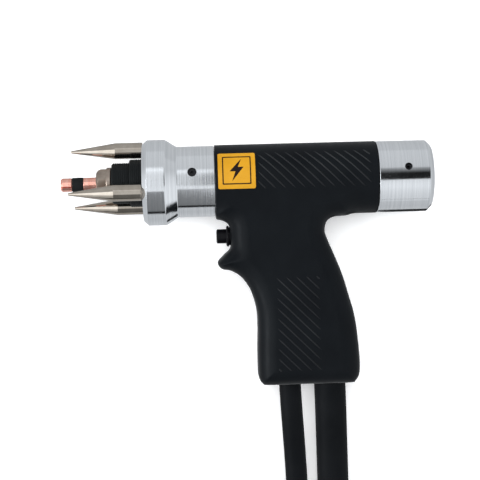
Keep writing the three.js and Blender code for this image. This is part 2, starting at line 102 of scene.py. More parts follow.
# ---- the gun's place, from the CAD's own joints and mounts ----
mounts = {m["name"]: Vector(m["pos_m"]) for m in frame["record"]["mounts"]}
barrel_axis = Vector(next(j for j in frame["joints"] if j["name"] == "spindle_lift")["axis"]).normalized()
tips = [mounts[f"leg_tip_{i}"] for i in (1, 2, 3)]
tips_centre = (tips[0] + tips[1] + tips[2]) / 3
first_leg = (tips[0] - tips_centre).normalized()
gun_up = Matrix.Rotation(math.radians(-LEG_ANGLES[0]), 3, barrel_axis) @ first_leg
gun_left = barrel_axis.cross(gun_up)
gun_origin = tips_centre - barrel_axis * LEG_TIP * MM
GUN = Matrix((barrel_axis, gun_up, gun_left)).transposed().to_4x4()
GUN.translation = gun_origin

pitch = math.asin((FLANGE_R - CAP_R) / (CAP_BACK - CAP_CHAMFER - FLANGE_BACK))
rest_height = FLANGE_R * math.cos(pitch) + FLANGE_BACK * math.sin(pitch)
SHIFT = gun_origin - Vector((0, 0, rest_height * MM))


def from_gun(x, y, z=0.0):
    return GUN @ (Vector((x, y, z)) * MM)


def on_floor(x, y, z):
    """A point of the cables' layout, whose origin is under the barrel's own origin."""
    return Vector((x, y, z)) * MM + SHIFT


def add_object(name, data):
    obj = bpy.data.objects.new(name, data)
    bpy.context.scene.collection.objects.link(obj)
    return obj


# ---- camera ----
CAMERA_FOOT = (-4.1, -33.8)
CAMERA_HEIGHT = 0.715
CAMERA_TURN = -1.63
CAMERA_LENS = 91.4
camera = add_object("camera", bpy.data.cameras.new("camera"))
foot = from_gun(*CAMERA_FOOT)
camera.location = (foot.x, foot.y, CAMERA_HEIGHT)
camera.rotation_euler = (0, 0, math.radians(CAMERA_TURN))
camera.data.sensor_width = 36
camera.data.lens = CAMERA_LENS
camera.data.clip_start = 0.01
bpy.context.scene.camera = camera


# ---- cables ----
INSIDE_BUTT_Y = -108


def lead(cable, *floor_points):
    """A cable's way from inside the butt to its coil."""
    inside = [from_gun(cable.exit_x, INSIDE_BUTT_Y), from_gun(cable.exit_x, BUTT_Y)]
    return inside + [on_floor(*point) for point in floor_points]


WELD_LEAD = lead(
    WELD, (45.1, -130, 16.1), (45.3, -146, 13.6), (45.5, -163, 11.3),
    (45.6, -181, 10.3), (45.6, -196, 10.3), (45.6, -210, 10.3),
    (45.6, -225, 10.3), (45.6, -246, 10.3), (45.6, -268, 10.3))
CONTROL_LEAD = lead(
    CONTROL, (22.6, -129, 16.2), (23.4, -144, 13.2), (24.2, -159, 10),
    (24.8, -174, 7.9), (24.6, -186, 7.55), (24.2, -198, 7.55),
    (24, -210, 7.55), (24, -224, 7.55), (24, -238, 7.55))
FIRST_HOP = 200  # where round the coil a cable first starts to change lanes, in degrees
HOP = 150  # how far round it takes to change
HOP_SPACING = 300  # from one change to the next: each comes a sixth of a turn earlier
RISE = 120  # how far round the end takes to climb on to the coil


def smooth(t):
    return 0.5 - 0.5 * math.cos(math.pi * min(max(t, 0.0), 1.0))


def round_point(cable, centre, radius, degrees):
    """A point round a centre on the floor: 0 degrees is the side where the lead joins the coil."""
    a = math.radians(degrees)
    return centre[0] - cable.side * radius * math.cos(a), centre[1] - radius * math.sin(a)


def lanes(cable):
    """Each turn's radius and height: across each layer and back across the next."""
    found = []
    for layer in range(cable.high):
        radii = [cable.middle + cable.radius * (cable.wide - 1 - 2 * i) for i in range(cable.wide)]
        if layer % 2:
            radii.reverse()
        z = COIL_LIFT + cable.radius * (1 + 2 * layer)
        found += [(r, z) for r in radii]
    return found


def coil_points(cable, last_degrees, step=6):
    """The turns from the lead to the start of the inward curl, rising on to the coil at the end."""
    turns = lanes(cable)
    hops = [FIRST_HOP + HOP_SPACING * k for k in range(len(turns) - 1)]
    points = []
    count = int(round(last_degrees / step))
    for i in range(count + 1):
        degrees = last_degrees * i / count
        r, z = turns[0]
        for k, start in enumerate(hops):
            share = smooth((degrees - start) / HOP)
            r += (turns[k + 1][0] - turns[k][0]) * share
            z += (turns[k + 1][1] - turns[k][1]) * share
        lift = smooth((degrees - (last_degrees - RISE)) / RISE)
        x, y = round_point(cable, cable.centre, r, degrees)
        points.append(on_floor(x, y, z + (cable.plug_z - z) * lift))
    return points


def tail_point(cable, turned_by):
    """A point of the cable's end, which curls inwards over the coil."""
    middle = round_point(cable, cable.centre, cable.lane - cable.bend, cable.tail_from)
    x, y = round_point(cable, middle, cable.bend, cable.tail_from + turned_by)
    return on_floor(x, y, cable.plug_z)


def tail_matrix(cable):
    """The plug's frame: X along it, away from the cable."""
    heading = cable.tail_from + cable.turn
    degrees = heading - 90 if cable.side > 0 else -heading - 90
    matrix = Matrix.Rotation(math.radians(degrees), 4, "Z")
    matrix.translation = tail_point(cable, cable.turn)
    return matrix


def through(points, each):
    """Points on a smooth curve through the given ones, so many to each span."""
    p = np.array([list(v) for v in points], float)
    ends = np.vstack([2 * p[0] - p[1], p, 2 * p[-1] - p[-2]])
    fine = []
    for a, b, c, d in zip(ends, ends[1:], ends[2:], ends[3:]):
        for t in np.linspace(0, 1, each, endpoint=False):
            fine.append(0.5 * (2 * b + (c - a) * t + (2 * a - 5 * b + 4 * c - d) * t ** 2
                               + (3 * b - a - 3 * c + d) * t ** 3))
    return np.array(fine + [p[-1]])


def resampled(points, spacing):
    """Evenly spaced points on a smooth curve through the given ones, and its length."""
    fine = through(points, 12)
    along = np.concatenate([[0], np.cumsum(np.linalg.norm(np.diff(fine, axis=0), axis=1))])
    want = np.linspace(0, along[-1], max(2, int(along[-1] / spacing) + 1))
    return np.stack([np.interp(want, along, fine[:, k]) for k in range(3)], axis=1), along[-1]


def cable_route(cable, start, last_degrees):
    tail = [tail_point(cable, cable.turn * i / 6) for i in range(1, 7)]
    return start + coil_points(cable, last_degrees) + tail


def cable_curve(name, cable, route):
    points, length = resampled(route, 0.004)
    curve = bpy.data.curves.new(name, "CURVE")
    curve.dimensions = "3D"
    curve.bevel_depth = cable.radius * MM
    curve.bevel_resolution = 8
    curve.use_fill_caps = True
    spline = curve.splines.new("POLY")
    spline.points.add(len(points) - 1)
    spline.points.foreach_set("co", np.hstack([points, np.ones((len(points), 1))]).ravel())
    spline.use_smooth = True
    return add_object(name, curve), length


weld_route = cable_route(WELD, WELD_LEAD, 4 * 360 + WELD.tail_from)
control_route = cable_route(CONTROL, CONTROL_LEAD, 6 * 360 + CONTROL.tail_from)
weld_cable, weld_length = cable_curve("weld_cable", WELD, weld_route)
control_cable, control_length = cable_curve("control_cable", CONTROL, control_route)


# ---- materials: one for each slot of the record, and three for details ----
def fill(tree, node, inputs):
    """Sets a node's inputs to values, or joins them to other nodes' outputs."""
    for name, value in inputs.items():
        socket = node.inputs[name.replace("_", " ")]
        if isinstance(value, bpy.types.NodeSocket):
            tree.links.new(value, socket)
        elif value is not None:
            socket.default_value = value


def add_node(tree, kind, **inputs):
    node = tree.nodes.new("ShaderNode" + kind)
    fill(tree, node, inputs)
    return node


def colour_ramp(tree, value, stops):
    node = add_node(tree, "ValToRGB", Fac=value)
    elements = node.color_ramp.elements
    while len(elements) < len(stops):
        elements.new(0.5)
    for element, (place, colour) in zip(elements, stops):
        element.position = place
        element.color = (*colour, 1)
    return node.outputs["Color"]


class Look:
    """A material being made: short names for its nodes."""

    def __init__(self, slot):
        self.material = bpy.data.materials.new(slot)
        self.material.use_nodes = True
        self.tree = self.material.node_tree
        self.coordinates = self.output("Object", "TexCoord")

    def output(self, output, kind, **inputs):
        return add_node(self.tree, kind, **inputs).outputs[output]

    def set(self, **inputs):
        fill(self.tree, self.tree.nodes["Principled BSDF"], inputs)

    def mapped(self, scale, rotation=(0, 0, 0)):
        return self.output("Vector", "Mapping", Scale=scale, Rotation=rotation,
                           Vector=self.coordinates)

    def noise(self, scale, detail=4.0, rough=0.6, stretch=(1, 1, 1)):
        where = self.mapped(stretch)
        return self.output("Fac", "TexNoise", Scale=scale, Detail=detail, Roughness=rough,
                           Vector=where)

    def ramp(self, value, low, high, start=0.0, end=1.0):
        return self.output("Result", "MapRange", From_Min=start, From_Max=end,
                           To_Min=low, To_Max=high, Value=value)

    def colours(self, value, *stops):
        return colour_ramp(self.tree, value, stops)

    def bump(self, height, strength, distance, previous=None):
        return self.output("Normal", "Bump", Strength=strength, Distance=distance,
                           Height=height, Normal=previous)


def turned_metal(slot, dark, light, rough_low, rough_high, line_scale=1.0, bump=0.12):
    """Metal with fine lathe lines around the X axis, and a few faint stains."""
    look = Look(slot)
    look.set(Metallic=1.0)
    lines = look.noise(1.0, 6.0, 0.75, (4200 * line_scale, 40, 40))
    broad = look.noise(1.0, 5.0, 0.7, (900 * line_scale, 9, 9))
    look.set(Base_Color=look.colours(broad, (0.36, dark), (0.64, light)))
    stains = look.noise(60.0, 3.0, 0.55)
    look.set(Roughness=look.ramp(stains, rough_low, rough_high, 0.3, 0.7))
    fine = look.bump(lines, bump, 0.00006)
    look.set(Normal=look.bump(broad, bump * 0.6, 0.0002, fine))
    return look.material


def plated_metal(slot, dark, light, roughness, wear=0.08):
    """Smooth plated or drawn metal, with soft clouding and light handling marks."""
    look = Look(slot)
    look.set(Metallic=1.0)
    clouds = look.noise(140.0, 4.0, 0.6)
    marks = look.noise(900.0, 5.0, 0.7, (1, 0.25, 0.25))
    look.set(Base_Color=look.colours(clouds, (0.32, dark), (0.68, light)))
    look.set(Roughness=look.ramp(marks, roughness, roughness + wear, 0.35, 0.75))
    look.set(Normal=look.bump(marks, 0.05, 0.00005))
    return look.material


def moulded(slot, dark, light, roughness, grain=1900.0, bump=0.25, spread=0.08, specular=0.5):
    """Moulded plastic or rubber: a fine grain, slight clouding and faint scuffs."""
    look = Look(slot)
    look.set(Specular_IOR_Level=specular)
    clouds = look.noise(45.0, 4.0, 0.55)
    fine = look.noise(grain, 3.0, 0.6)
    scuffs = look.noise(260.0, 6.0, 0.8, (1.0, 0.22, 1.0))
    look.set(Base_Color=look.colours(clouds, (0.3, dark), (0.7, light)))
    look.set(Roughness=look.ramp(scuffs, roughness - spread, roughness + spread, 0.3, 0.7))
    grainy = look.bump(fine, bump, 0.0001)
    look.set(Normal=look.bump(scuffs, bump * 0.25, 0.00012, grainy))
    return look.material


def woven(slot, dark, light):
    """A narrow woven strap: crossed threads."""
    look = Look(slot)
    across = look.mapped((1, 1, 1), (0.4, 0.5, 0.78))
    wave = look.output("Fac", "TexWave", Scale=420.0, Distortion=1.5, Vector=across)
    threads = look.noise(2600.0, 2.0, 0.5, (1, 1, 0.4))
    look.set(Roughness=0.9, Sheen_Weight=0.3)
    look.set(Base_Color=look.colours(threads, (0.3, dark), (0.7, light)))
    look.set(Normal=look.bump(wave, 0.6, 0.0003, look.bump(threads, 0.4, 0.0002)))
    return look.material


LOOKS = {}


def slot_look(slot, make, *values, **more):
    LOOKS[slot] = make(slot, *values, **more)


slot_look("turned_aluminium", turned_metal, (0.72, 0.74, 0.765), (0.85, 0.865, 0.885), 0.08, 0.15, 1.0, 0.2)
slot_look("nickel_leg", plated_metal, (0.41, 0.36, 0.305), (0.5, 0.45, 0.39), 0.05, 0.05)
slot_look("nut_metal", plated_metal, (0.3, 0.24, 0.2), (0.46, 0.39, 0.33), 0.28, 0.14)
slot_look("copper", turned_metal, (0.94, 0.41, 0.31), (1.0, 0.58, 0.48), 0.16, 0.3, 0.5, 0.2)
slot_look("steel", plated_metal, (0.4, 0.4, 0.41), (0.56, 0.56, 0.57), 0.25, 0.12)
slot_look("brass", turned_metal, (0.66, 0.48, 0.2), (0.8, 0.62, 0.3), 0.2, 0.34, 0.6)
slot_look("housing_plastic", moulded,
          (0.0024, 0.0032, 0.0044), (0.0036, 0.0048, 0.0062), 0.4, specular=0.09)
slot_look("black_plastic", moulded, (0.0025, 0.0024, 0.0033), (0.0042, 0.004, 0.005), 0.32, specular=0.14)
slot_look("moulded_rubber", moulded,
          (0.003, 0.0038, 0.0042), (0.0065, 0.0078, 0.0082), 0.6, 1300.0, 0.35, specular=0.16)
slot_look("cable_jacket", moulded,
          (0.0022, 0.0028, 0.0036), (0.0046, 0.0053, 0.0064), 0.55, 1500.0, 0.3, specular=0.07)
slot_look("insulating_tube", moulded, (0.28, 0.15, 0.05), (0.42, 0.25, 0.1), 0.45)
slot_look("copper_winding", plated_metal, (0.4, 0.15, 0.06), (0.55, 0.24, 0.1), 0.35)
slot_look("badge_plate", moulded, (0.42, 0.2, 0.008), (0.54, 0.27, 0.014), 0.4, 900.0, 0.06, specular=0.12)
slot_look("nickel_ring", plated_metal, (0.55, 0.55, 0.54), (0.68, 0.68, 0.66), 0.2)
slot_look("strap", woven, (0.012, 0.012, 0.014), (0.03, 0.03, 0.034))
BADGE_INK = moulded(
    "badge_ink", (0.006, 0.003, 0.003), (0.012, 0.006, 0.005), 0.4, 900.0, 0.06, specular=0.12)
# The ribs' colour is lighter than the housing's plastic: a painted highlight along the ribs, not a colour of their
# own.
RIB_PAINTED_HIGHLIGHT = moulded("rib_painted_highlight", (0.009, 0.01, 0.0115), (0.018, 0.0195, 0.021), 0.45, specular=0.15)
BLACK_OXIDE = plated_metal("black_oxide", (0.02, 0.02, 0.022), (0.045, 0.045, 0.048), 0.35)

for entry in frame["record"]["subparts"]:
    node = frame["nodes"][entry["node"]]
    node.data.materials.clear()
    node.data.materials.append(LOOKS[entry["material_slot"]])


# ---- mesh making: everything in millimetres, then placed ----
def mesh_object(name, verts, faces):
    mesh = bpy.data.meshes.new(name)
    mesh.from_pydata([tuple(float(c) * MM for c in v) for v in verts], [], faces)
    work = bmesh.new()
    work.from_mesh(mesh)
    bmesh.ops.recalc_face_normals(work, faces=work.faces)
    work.to_mesh(mesh)
    work.free()
    return add_object(name, mesh)


def shade(obj, angle, weighted):
    """Smooth shading, with edges sharper than the angle left sharp."""
    obj.data.shade_smooth()
    obj.data.set_sharp_from_angle(angle=math.radians(angle))
    if weighted:
        modifier = obj.modifiers.new("weighted", "WEIGHTED_NORMAL")
        modifier.keep_sharp = True


def filleted(profile, closed, steps=5):
    """[x, r] points, each with an optional third number: the radius that rounds its corner."""
    count = len(profile)
    out = []
    for i, point in enumerate(profile):
        corner = np.array(point[:2], float)
        radius = point[2] if len(point) > 2 else 0
        if not radius or (not closed and i in (0, count - 1)):
            out.append(tuple(corner))
            continue
        before = np.array(profile[i - 1][:2], float) - corner
        after = np.array(profile[(i + 1) % count][:2], float) - corner
        u, v = before / np.linalg.norm(before), after / np.linalg.norm(after)
        half = math.acos(np.clip(u @ v, -1, 1)) / 2
        if half > math.radians(89):
            out.append(tuple(corner))
            continue
        reach = min(radius / math.tan(half), 0.49 * np.linalg.norm(before), 0.49 * np.linalg.norm(after))
        middle = corner + (u + v) / np.linalg.norm(u + v) * reach / math.cos(half)
        start, end = corner + u * reach - middle, corner + v * reach - middle
        sweep = math.pi - 2 * half
        for k in range(steps + 1):
            t = k / steps
            a, b = math.sin((1 - t) * sweep), math.sin(t * sweep)
            out.append(tuple(middle + (start * a + end * b) / math.sin(sweep)))
    return out


def circle(radius, count):
    angles = [2 * math.pi * i / count for i in range(count)]
    return [(radius * math.cos(a), radius * math.sin(a)) for a in angles]


def turned(name, profile, segments=96, axis_y=0.0, axis_z=0.0):
    """A solid of revolution about a line along X."""
    closed = not (profile[0][1] == 0 and profile[-1][1] == 0)
    points = filleted(profile, closed)
    verts, rings, faces = [], [], []
    for x, r in points:
        if r < 1e-6:
            rings.append([len(verts)] * segments)
            verts.append((x, axis_y, axis_z))
            continue
        rings.append(list(range(len(verts), len(verts) + segments)))
        verts += [(x, axis_y + u, axis_z + v) for u, v in circle(r, segments)]
    pairs = list(zip(rings, rings[1:])) + ([(rings[-1], rings[0])] if closed else [])
    for one, two in pairs:
        for i in range(segments):
            j = (i + 1) % segments
            face = [one[i], one[j], two[j], two[i]]
            face = [v for k, v in enumerate(face) if v not in face[:k]]
            if len(face) > 2:
                faces.append(face)
    return mesh_object(name, verts, faces)


def strip(path, section, closed=False):
    """Verts and faces of a section of (u, v) points carried along a path of (point, side, up) frames."""
    verts = [point + side * u + up * v for point, side, up in path for u, v in section]
    size = len(section)
    faces = []
    for i in range(len(path) if closed else len(path) - 1):
        one, two = i * size, ((i + 1) % len(path)) * size
        for k in range(size):
            m = (k + 1) % size
            faces.append((one + k, one + m, two + m, two + k))
    return verts, faces


def swept(name, path, section, closed=False):
    """A strip as an object, with its ends filled unless it is closed."""
    verts, faces = strip(path, section, closed)
    if not closed:
        faces.append(tuple(range(len(section))))
        faces.append(tuple(range(len(verts) - len(section), len(verts))))
    return mesh_object(name, verts, faces)


def cylinder(start, end, radius, segments=32):
    """A plain cylinder between two points, used to cut and join."""
    turn = (Vector(end) - Vector(start)).to_track_quat("X", "Z").to_matrix()
    path = [(Vector(point), turn.col[1], turn.col[2]) for point in (start, end)]
    return swept("cutter", path, circle(radius, segments))


def box(x0, x1, y0, y1, z0, z1):
    verts = [(x, y, z) for x in (x0, x1) for y in (y0, y1) for z in (z0, z1)]
    faces = [(0, 1, 3, 2), (4, 6, 7, 5), (0, 4, 5, 1), (2, 3, 7, 6), (0, 2, 6, 4), (1, 5, 7, 3)]
    return mesh_object("cutter", verts, faces)


def apply_modifiers(obj):
    bpy.context.view_layer.update()
    graph = bpy.context.evaluated_depsgraph_get()
    mesh = bpy.data.meshes.new_from_object(obj.evaluated_get(graph))
    obj.modifiers.clear()
    obj.data = mesh


def boolean(obj, cutters, operation="DIFFERENCE"):
    for cutter in cutters:
        modifier = obj.modifiers.new("boolean", "BOOLEAN")
        modifier.operation = operation
        modifier.object = cutter
        modifier.solver = "EXACT"
    apply_modifiers(obj)
    for cutter in cutters:
        bpy.data.objects.remove(cutter)


def bevelled(obj, width, segments=3, angle=30):
    modifier = obj.modifiers.new("bevel", "BEVEL")
    modifier.width = width * MM
    modifier.segments = segments
    modifier.limit_method = "ANGLE"
    modifier.angle_limit = math.radians(angle)
    apply_modifiers(obj)


def around(x, radius, degrees, axis_y=0.0):
    """A point round a line along X: 0 degrees is up the gun, 90 its left side."""
    a = math.radians(degrees)
    return (x, axis_y + radius * math.cos(a), radius * math.sin(a))


def radial_hole(x, angle, radius):
    """A cutter for a set screw's hole through a tube's wall."""
    return cylinder(around(x, 14, angle), around(x, 22, angle), radius, 40)


def joined(first, *others):
    """The first object, with the others' meshes added to its own."""
    work = bmesh.new()
    for obj in (first, *others):
        work.from_mesh(obj.data)
    work.to_mesh(first.data)
    work.free()
    for obj in others:
        bpy.data.objects.remove(obj)
    return first


def put(obj, slot, *nodes, body="gun_body", place=GUN, look=None, angle=32, weighted=True):
    """Gives a piece its shading, material and place, hangs it from its body's empty, and hides the CAD nodes it
    stands for.
    """
    if obj.type == "MESH":
        shade(obj, angle, weighted)
    obj.data.materials.clear()
    obj.data.materials.append(look or LOOKS[slot])
    obj.matrix_world = place
    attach(obj, body)
    if nodes:
        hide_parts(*nodes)


def blended(obj, slot, near, far, start, end, *nodes):
    """A piece placed on the gun with its material, its place baked into its mesh: it does not stretch or bend, and
    near, far, start and end are not used.
    """
    shade(obj, 60, False)
    obj.data.transform(GUN)
    obj.data.materials.append(LOOKS[slot])
    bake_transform(obj)
    if nodes:
        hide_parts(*nodes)


def helix(name, x0, x1, radius, wire, turns, y=0.0, part=(0, 1), per_turn=28, sides=12):
    """A spring with closed ends, about a line along X, or the given part of its length."""
    path = []
    total = int(turns * per_turn)
    for i in range(round(total * part[0]), round(total * part[1]) + 1):
        t = i / total
        share = 0.6 * t + 0.4 * smooth(t)
        a = 2 * math.pi * turns * t
        x = x0 + wire + (x1 - x0 - 2 * wire) * share
        out = Vector((0, math.cos(a), math.sin(a)))
        path.append((Vector((x, y, 0)) + out * radius, out, Vector((1, 0, 0))))
    return swept(name, path, circle(wire, sides))


# ---- housing: two moulded halves, from a distance field ----
FRONT_EDGE = [
    (-17.4, -19.7), (-13.2, -21.7), (-10.1, -25.4), (-9.7, -31.4), (-9.7, -38.1),
    (-13.8, -42.4), (-17.1, -46.3), (-14.8, -49.6), (-9.7, -50.8), (-4, -54.6), (0.9, -62),
    (4.2, -73), (4.7, -83.9), (4.3, -97), (4.3, -109.2),
]
BUTT_EDGE = [
    (4.7, -112.6), (6.4, -115.1), (9.6, BUTT_Y), (30, BUTT_Y), (55.5, BUTT_Y), (58.9, -114.8), (61, -111.6),
]
REAR_EDGE = [
    (61.7, -105.9), (61, -92.8), (59.3, -78.2), (55.9, -65), (52, -51.9), (44.9, -34.2),
    (43.6, -29.1), (45.1, -23.8), (49.2, -20.5), (55.8, -19.4),
]
EDGE_ROUND = 10.5
BLEND = 6.5  # the width of the fillet between grip and barrel
BORE_R = 17.6
BOSS_R = 3.6
SCREW_HOLE_R = 1.6
SCREW_HOLE_DEPTH = 9.0  # from the joint between the halves
RECESS_R = 3.4
RECESS_Z = 12.0
TRIGGER_HOLE_R = 5.5
TRIGGER_HOLE_X = -5.0
CABLE_HOLE_GAP = 0.45
CABLE_HOLE_Y = -110
VOXEL = 0.62


def outline_distance(x, y):
    """The signed distance to the grip's outline, negative inside, on a grid of x by y."""
    ring = np.vstack([through(FRONT_EDGE + BUTT_EDGE + REAR_EDGE, 8), (62.0, -6.0), (-17.4, -6.0)])
    px, py = np.meshgrid(x, y, indexing="ij")
    best = np.full(px.shape, 1e9)
    inside = np.zeros(px.shape, bool)
    for (ax, ay), (bx, by) in zip(ring, np.roll(ring, -1, axis=0)):
        dx, dy = bx - ax, by - ay
        t = np.clip(((px - ax) * dx + (py - ay) * dy) / (dx * dx + dy * dy), 0, 1)
        best = np.minimum(best, (px - ax - t * dx) ** 2 + (py - ay - t * dy) ** 2)
        crosses = (ay > py) != (by > py)
        inside ^= crosses & (((px - ax) * dy - (py - ay) * dx) * dy < 0)
    return np.where(inside, -1, 1) * np.sqrt(best)


def smooth_union(a, b, k):
    h = np.clip(0.5 + 0.5 * (b - a) / k, 0, 1)
    return b + (a - b) * h - k * h * (1 - h)


def outer_field(x, y, z):
    """The housing's outer surface: barrel and grip, blended."""
    flat = outline_distance(x, y)[:, :, None]
    up = np.abs(z)[None, None, :] - GRIP_HALF + EDGE_ROUND
    inwards = flat + EDGE_ROUND
    grip = (np.hypot(np.maximum(inwards, 0), np.maximum(up, 0))
            + np.minimum(np.maximum(inwards, up), 0) - EDGE_ROUND)
    barrel = np.hypot(y[:, None], z[None, :])[None, :, :] - BARREL_R
    ends = np.maximum(HOUSING_FRONT - x, x - HOUSING_BACK)[:, None, None]
    return np.maximum(smooth_union(grip, barrel, BLEND), ends)


def tube_field(across_a, across_b, radius):
    return np.hypot(across_a, across_b) - radius


def half_field(x, y, z, screws):
    """One half of the housing: its wall, screw bosses and holes, negative in the plastic."""
    outer = outer_field(x, y, z)
    gx, gy, gz = x[:, None, None], y[None, :, None], z[None, None, :]
    bore = BORE_R - np.hypot(gy, gz)
    shell = np.maximum(np.maximum(outer, -(outer + WALL)), bore)
    for sx, sy in SCREWS:
        boss = tube_field(gx - sx, gy - sy, BOSS_R)
        shell = np.minimum(shell, np.maximum(np.maximum(boss, outer + 0.4), bore))
        hole = tube_field(gx - sx, gy - sy, SCREW_HOLE_R)
        shell = np.maximum(shell, -np.maximum(hole, np.abs(gz) - SCREW_HOLE_DEPTH))
        if screws:
            recess = tube_field(gx - sx, gy - sy, RECESS_R)
            shell = np.maximum(shell, -np.maximum(recess, RECESS_Z - np.abs(gz)))
            shell = np.maximum(shell, -hole)
    trigger = np.maximum(tube_field(gy - TRIGGER_Y, gz, TRIGGER_HOLE_R), gx - TRIGGER_HOLE_X)
    shell = np.maximum(shell, -trigger)
    for cable in (WELD, CONTROL):
        hole = tube_field(gx - cable.exit_x, gz, cable.radius + CABLE_HOLE_GAP)
        hole = np.maximum(hole, gy - CABLE_HOLE_Y)
        shell = np.maximum(shell, -hole)
    return np.maximum(shell, 0.07 - np.abs(gz))


def surface(values, x, y, z):
    """The zero surface of a field: one point in each crossed cell, one quad on each crossed edge."""
    inside = values < 0
    shape = tuple(n - 1 for n in values.shape)
    total = np.zeros(shape + (3,))
    count = np.zeros(shape)
    for axis in range(3):
        others = [a for a in range(3) if a != axis]
        for i in (0, 1):
            for j in (0, 1):
                low = [0, 0, 0]
                low[others[0]], low[others[1]] = i, j
                high = list(low)
                high[axis] = 1
                a = values[tuple(slice(s, s + n) for s, n in zip(low, shape))]
                b = values[tuple(slice(s, s + n) for s, n in zip(high, shape))]
                crossed = (a < 0) != (b < 0)
                t = np.where(crossed, a / np.where(crossed, a - b, 1), 0)
                for c in range(3):
                    total[..., c] += np.where(crossed, t if c == axis else low[c], 0)
                count += crossed
    cells = count > 0
    index = np.full(shape, -1)
    where = np.argwhere(cells)
    index[cells] = np.arange(len(where))
    local = total[cells] / count[cells][:, None] + where
    verts = np.stack([np.interp(local[:, c], np.arange(len(g)), g) for c, g in enumerate((x, y, z))], axis=1)
    quads = []
    for axis in range(3):
        one, two = [a for a in range(3) if a != axis]
        edges = np.argwhere(np.diff(inside, axis=axis))
        ok = np.all(edges[:, [one, two]] > 0, axis=1)
        ok &= (edges[:, one] < shape[one]) & (edges[:, two] < shape[two])
        steps = [da * np.eye(3, dtype=int)[one] + db * np.eye(3, dtype=int)[two]
                 for da, db in ((0, 0), (1, 0), (1, 1), (0, 1))]
        quads.append(np.stack([index[tuple((edges[ok] - step).T)] for step in steps], axis=1))
    return verts, np.vstack(quads)


RIB_WIDTH = 0.85
RIB_HEIGHT = 0.5
RIB_PITCH = 5.65
BARREL_RIB_PITCH = 5.5


def rib(frames):
    """One raised rib along (point, side, up) frames, tapered at both ends. Gives verts and faces."""
    section = [(-0.5, -0.25), (-0.42, 0.35), (-0.2, 0.85), (0, 1), (0.2, 0.85), (0.42, 0.35), (0.5, -0.25)]
    path = []
    last = len(frames) - 1
    for i, (point, side, up) in enumerate(frames):
        t = min(i, last - i) / last
        taper = math.sqrt(min(1.0, t * 8)) if t > 0 else 0.02
        path.append((point, side * RIB_WIDTH * taper, up * RIB_HEIGHT * taper))
    return strip(path, section)


def panel_lines(u0, u1, v0, v1, pitch):
    """Lines at 45 degrees, falling as u grows, clipped to a rectangle."""
    found = []
    first = math.ceil((u0 + v0) / pitch)
    for k in range(first, int((u1 + v1) / pitch) + 1):
        total = k * pitch
        start = max(u0, total - v1)
        end = min(u1, total - v0)
        if end - start > 0.8:
            count = max(8, int((end - start) / 1.2))
            found.append([(u, total - u) for u in np.linspace(start, end, count)])
    return found


def rib_panels(side):
    """The ribs of one half: a panel on the grip's flank and one wrapped on the barrel."""
    along, out = Vector((1, 0, 0)), Vector((0, 0, side))
    slant = Vector((1, 1, 0)).normalized()
    ribs = [[(Vector((u, v, side * GRIP_HALF)), slant, out) for u, v in line]
            for line in panel_lines(15.2, 39.2, -107.2, -54.4, RIB_PITCH)]
    for line in panel_lines(6.3, 69.2, -5.2, 17.2, BARREL_RIB_PITCH):
        frames = []
        for u, v in line:
            a = v / BARREL_R
            up = Vector((0, math.sin(a), side * math.cos(a)))
            slant = (along + along.cross(up) * -side).normalized()
            frames.append((along * u + up * BARREL_R, slant, up))
        ribs.append(frames)
    verts, faces = [], []
    for frames in ribs:
        more, quads = rib(frames)
        faces += [[len(verts) + v for v in quad] for quad in quads]
        verts += more
    return verts, faces


def grid(low, high):
    """Grid lines from a little below low to a little past high."""
    return np.arange(low - 1.4, high + 1.5, VOXEL)


def housing_half(name, side):
    x = grid(HOUSING_FRONT, HOUSING_BACK)
    y = grid(BUTT_Y, BARREL_R)
    z = np.arange(-0.3, BARREL_R + 1.2, VOXEL)
    values = half_field(x, y, z, screws=side < 0)
    verts, quads = surface(values, x, y, z)
    verts[:, 2] = np.maximum(verts[:, 2], 0.05)
    verts[:, 2] *= side
    return mesh_object(name, verts, quads.tolist())


for name, side in (("housing_left", 1), ("housing_right", -1)):
    half = housing_half(name + "_shell", side)
    put(half, "housing_plastic", name, angle=50, weighted=False)
    ribs = mesh_object(name + "_ribs", *rib_panels(side))
    # The ribs get the lighter colour, which is a painted highlight.
    put(ribs, "housing_plastic", look=RIB_PAINTED_HIGHLIGHT, angle=50, weighted=False)


def housing_screw(i, x, y):
    """A socket-head screw, entering from the gun's right side."""
    head = cylinder((x, y, -14.6), (x, y, -12.3), 3.1, 48)
    bevelled(head, 0.3)
    boolean(head, [cylinder((x, y, -15), (x, y, -13.2), 1.45, 6)])
    shank = cylinder((x, y, -12.4), (x, y, 8), 1.3, 24)
    boolean(head, [shank], "UNION")
    head.name = f"housing_screw_{i}_fine"
    put(head, "steel", f"housing_screw_{i}")


for number, (screw_x, screw_y) in enumerate(SCREWS, 1):
    housing_screw(number, screw_x, screw_y)


# ---- nose ----
def nose_body():
    obj = turned("nose_body_fine", [
        (NOSE_FRONT, 14, 0.3), (NOSE_FRONT, FLANGE_R - 2.3, 0.15), (NOSE_FRONT + 2.6, FLANGE_R, 0.15),
        (FLANGE_BACK - 1.7, FLANGE_R, 1.6), (-41.9, 22.1, 2.5), (-38.7, TUBE_R, 0.9),
        (-17.7, TUBE_R, 0.3), (-17.7, 17.2, 0.1), (0, 17.2, 0.3), (0, 15.5, 0.3), (-45, 15.5, 0.2),
        (-45, 14, 0.2),
    ], 160)
    cutters = [cylinder(around(NOSE_FRONT - 1, LEG_CIRCLE_R, a), around(-46.4, LEG_CIRCLE_R, a), 3)
               for a in LEG_ANGLES]
    cutters += [radial_hole(NOSE_GRUB_X, a, 2.55) for a in GRUB_ANGLES]
    boolean(obj, cutters)
    put(obj, "turned_aluminium", "nose_body")


